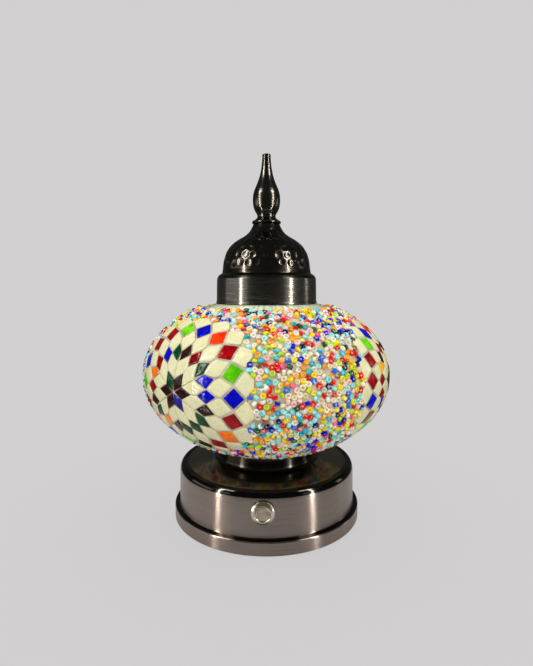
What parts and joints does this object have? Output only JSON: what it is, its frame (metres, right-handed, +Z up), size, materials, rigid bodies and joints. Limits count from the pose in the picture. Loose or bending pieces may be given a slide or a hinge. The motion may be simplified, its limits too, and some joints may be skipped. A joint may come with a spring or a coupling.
{
  "type": "table lamp",
  "caption": "Cordless table lamp with a mosaic glass globe on a drum base, a hammered dome cap and a turned finial; a sprung push button switches it.",
  "frame": {"origin": "on the lamp's axis at the height of the table it stands on", "axes": "+Z up along the lamp's axis, -Y towards the front with the push button, +X to the right seen from the front"},
  "size_m": [0.202, 0.202, 0.2968],
  "materials": {
    "gunmetal": "spun, polished, gunmetal plated",
    "black_nickel": "black nickel plated, hammered dome and lathe-brushed collar",
    "bright_nickel": "nickel plated",
    "zinc_plate": "zinc plated",
    "black_rubber": "matt",
    "clear_glass": "clear blown glass",
    "seed_beads": "glass seed beads of many colours set in pale grout",
    "glass_tiles": "cut coloured glass tiles in pale grout",
    "black_plastic": "moulded",
    "cell_wrap": "shrink sleeve",
    "circuit_green": "solder mask",
    "white_board": "white solder mask on aluminium",
    "led_phosphor": "yellow phosphor",
    "opal_plastic": "opal",
    "aluminium": "turned",
    "red_wire": "insulated lead",
    "black_wire": "insulated lead",
    "white_wire": "insulated lead"
  },
  "bodies": {
    "lamp": {"base_housing": "gunmetal", "battery_cell_1": "cell_wrap", "battery_cell_2": "cell_wrap", "battery_lead_minus": "black_wire", "battery_lead_plus": "red_wire", "battery_tray": "black_plastic", "bead_field": "seed_beads", "board_post_1": "black_plastic", "board_post_2": "black_plastic", "board_screw_1": "zinc_plate", "board_screw_2": "zinc_plate", "bottom_plate": "zinc_plate", "cell_contact_minus": "bright_nickel", "cell_contact_plus": "bright_nickel", "centring_disc": "zinc_plate", "charge_board": "circuit_green", "charge_socket": "bright_nickel", "clamp_nut": "zinc_plate", "finial": "black_nickel", "glass_globe": "clear_glass", "globe_seat_ring": "black_rubber", "led_board": "white_board", "led_chip_1": "led_phosphor", "led_chip_2": "led_phosphor", "led_chip_3": "led_phosphor", "led_chip_4": "led_phosphor", "led_diffuser": "opal_plastic", "led_heatsink": "aluminium", "led_lead_minus": "black_wire", "led_lead_plus": "red_wire", "medallion_1": "glass_tiles", "medallion_2": "glass_tiles", "medallion_3": "glass_tiles", "neck_gasket": "black_rubber", "plate_bracket_1": "zinc_plate", "plate_bracket_2": "zinc_plate", "plate_bracket_3": "zinc_plate", "plate_screw_1": "zinc_plate", "plate_screw_2": "zinc_plate", "plate_screw_3": "zinc_plate", "rod_nut_lower": "zinc_plate", "rod_nut_upper": "zinc_plate", "rubber_foot_1": "black_rubber", "rubber_foot_2": "black_rubber", "rubber_foot_3": "black_rubber", "rubber_foot_4": "black_rubber", "socket_tongue": "black_plastic", "switch_base": "black_plastic", "switch_body": "bright_nickel", "switch_lead_1": "white_wire", "switch_lead_2": "white_wire", "switch_nut": "bright_nickel", "switch_seal": "black_rubber", "switch_spring": "zinc_plate", "switch_terminal_1": "bright_nickel", "switch_terminal_2": "bright_nickel", "threaded_rod": "zinc_plate", "top_cap": "black_nickel"},
    "button": {"switch_button": "bright_nickel"}
  },
  "joints": [
    {"name": "button_press", "type": "slide", "parent": "lamp", "child": "button", "axis": [0, 1, 0], "range_m": [0, 0.002], "stiffness_N_per_m": 900, "springref_m": -0.002, "deforming": ["switch_spring"]}
  ]
}
